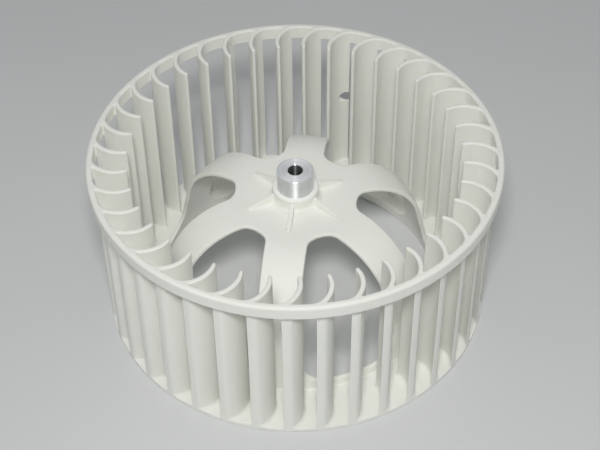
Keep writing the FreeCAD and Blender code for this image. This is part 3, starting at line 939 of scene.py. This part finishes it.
def make_set_screw():
    loops = []
    for step in range(SCREW_LEVELS + 1):
        along = SCREW_LENGTH * step / SCREW_LEVELS
        loops.append(screw_loop(SCREW_POINT + along,
                                lambda turned, along=along: thread_radius(along, turned)))
    for across, place in ((SOCKET_FLATS + 2 * SOCKET_CHAMFER, SCREW_HEAD),
                          (SOCKET_FLATS, SCREW_HEAD - SOCKET_CHAMFER),
                          (SOCKET_FLATS, SCREW_HEAD - SOCKET_DEPTH)):
        loops.append(screw_loop(place,
                                lambda turned, across=across: hexagon_radius(across, turned)))
    piece = make_piece("set_screw_threaded", lofted(loops), STEEL, "set_screw", SCREW_ANGLE)
    chamfer_edges(piece, SCREW_EDGE, SCREW_EDGE_ANGLE)
    keep_flats(piece)


# ---------------------------------------------------------------- floor, light and camera
# Sizes and places in this section are in metres.
FLOOR_HALF_SIDE = 4.0
FLOOR_HEIGHT = -0.0002


def floor_paper():
    """Pale matt paper with a trace of fibre."""
    nodes = Nodes("floor_paper")
    place = nodes.add("ShaderNodeTexCoord").outputs["Object"]
    cloud = nodes.noise(place, scale=3, detail=3)
    colour = nodes.ramp(cloud, [(0.3, (0.69, 0.70, 0.71)), (0.7, (0.72, 0.73, 0.74))])
    nodes.link(colour, nodes.shader.inputs["Base Color"])
    grain = nodes.noise(place, scale=900, detail=3)
    fibres = nodes.bump(grain, distance=0.00005, strength=0.3)
    nodes.link(fibres, nodes.shader.inputs["Normal"])
    nodes.shader.inputs["Roughness"].default_value = 0.9
    return nodes.material


def make_floor():
    half = FLOOR_HALF_SIDE
    mesh = bpy.data.meshes.new("floor")
    mesh.from_pydata([(-half, -half, 0), (half, -half, 0), (half, half, 0), (-half, half, 0)],
                     [], [(0, 1, 2, 3)])
    mesh.materials.append(floor_paper())
    floor = bpy.data.objects.new("floor", mesh)
    floor.location.z = FLOOR_HEIGHT
    bpy.context.scene.collection.objects.link(floor)


def add_light(name, place, size, power, colour):
    """A round area light that faces the middle of the wheel."""
    light = bpy.data.lights.new(name, "AREA")
    light.shape = "DISK"
    light.size = size
    light.energy = power
    light.color = colour
    holder = bpy.data.objects.new(name, light)
    bpy.context.scene.collection.objects.link(holder)
    holder.location = place
    aim = LIT_MIDDLE - Vector(place)
    holder.rotation_euler = aim.to_track_quat("-Z", "Y").to_euler()


# The room's brightness at sines of the height above the horizon, the tint of its light, and
# its strength as light on matt surfaces and as what glossy surfaces reflect.
ROOM_LEVELS = [(0.0, 0.58), (0.45, 0.56), (0.72, 0.45), (1.0, 0.95)]
ROOM_TINT = Vector((0.97, 0.99, 1.0))
ROOM_LIGHT = 0.42
ROOM_REFLECTION = 1.15
LIT_MIDDLE = Vector((0, 0, 0.05))


def studio_world():
    """A pale room, brightest overhead; it shows more in reflections than as light."""
    world = bpy.data.worlds.new("studio")
    world.use_nodes = True
    tree = world.node_tree
    place = tree.nodes.new("ShaderNodeTexCoord")
    parts = tree.nodes.new("ShaderNodeSeparateXYZ")
    tree.links.new(place.outputs["Generated"], parts.inputs["Vector"])
    ramp = tree.nodes.new("ShaderNodeValToRGB")
    elements = ramp.color_ramp.elements
    while len(elements) < len(ROOM_LEVELS):
        elements.new(0.5)
    for element, (position, level) in zip(elements, ROOM_LEVELS):
        element.position = position
        element.color = (*(ROOM_TINT * level), 1)
    tree.links.new(parts.outputs["Z"], ramp.inputs["Fac"])
    background = tree.nodes["Background"]
    tree.links.new(ramp.outputs["Color"], background.inputs["Color"])
    ray = tree.nodes.new("ShaderNodeLightPath")
    strength = tree.nodes.new("ShaderNodeMapRange")
    strength.inputs["To Min"].default_value = ROOM_LIGHT
    strength.inputs["To Max"].default_value = ROOM_REFLECTION
    tree.links.new(ray.outputs["Is Glossy Ray"], strength.inputs["Value"])
    tree.links.new(strength.outputs["Result"], background.inputs["Strength"])
    bpy.context.scene.world = world


def light_scene():
    """A small warm light beside the camera, a weak wide one above, and the room."""
    studio_world()
    add_light("key", place=(-0.015, -0.60, 0.85), size=0.16, power=5.2, colour=(1.0, 0.99, 0.97))
    add_light("top", place=(-0.3, 0.5, 1.3), size=0.8, power=0.4, colour=(0.97, 0.99, 1.0))
    bpy.context.scene.view_settings.view_transform = "Standard"


# The camera's angles are in radians, its lens and sensor in millimetres.
CAMERA_PLACE = Vector((0, -0.5541, 0.6099))
CAMERA_YAW = 0.0040
CAMERA_PITCH = 0.7936
CAMERA_ROLL = -0.0112
CAMERA_LENS = 85.2
CAMERA_SENSOR = 36
CAMERA_NEAR_LIMIT = 0.02


def add_camera():
    """A view from in front and above the rim, looking down across the wheel."""
    camera = bpy.data.cameras.new("main_view")
    camera.sensor_width = CAMERA_SENSOR
    camera.lens = CAMERA_LENS
    camera.clip_start = CAMERA_NEAR_LIMIT
    forward = Vector((math.sin(CAMERA_YAW) * math.cos(CAMERA_PITCH),
                      math.cos(CAMERA_YAW) * math.cos(CAMERA_PITCH), -math.sin(CAMERA_PITCH)))
    level = forward.cross(Vector((0, 0, 1))).normalized()
    upright = level.cross(forward)
    right = level * math.cos(CAMERA_ROLL) + upright * math.sin(CAMERA_ROLL)
    up = upright * math.cos(CAMERA_ROLL) - level * math.sin(CAMERA_ROLL)
    holder = bpy.data.objects.new("main_view", camera)
    bpy.context.scene.collection.objects.link(holder)
    turn = Matrix((right, up, -forward)).transposed().to_4x4()
    holder.matrix_world = Matrix.Translation(CAMERA_PLACE) @ turn
    bpy.context.scene.camera = holder


# ---------------------------------------------------------------- the whole scene
make_inlet_ring()
make_back_plate()
make_blades()
make_spider()
make_hub_boss()
make_ribs()
make_hub_insert()
make_set_screw()
make_floor()
light_scene()
add_camera()
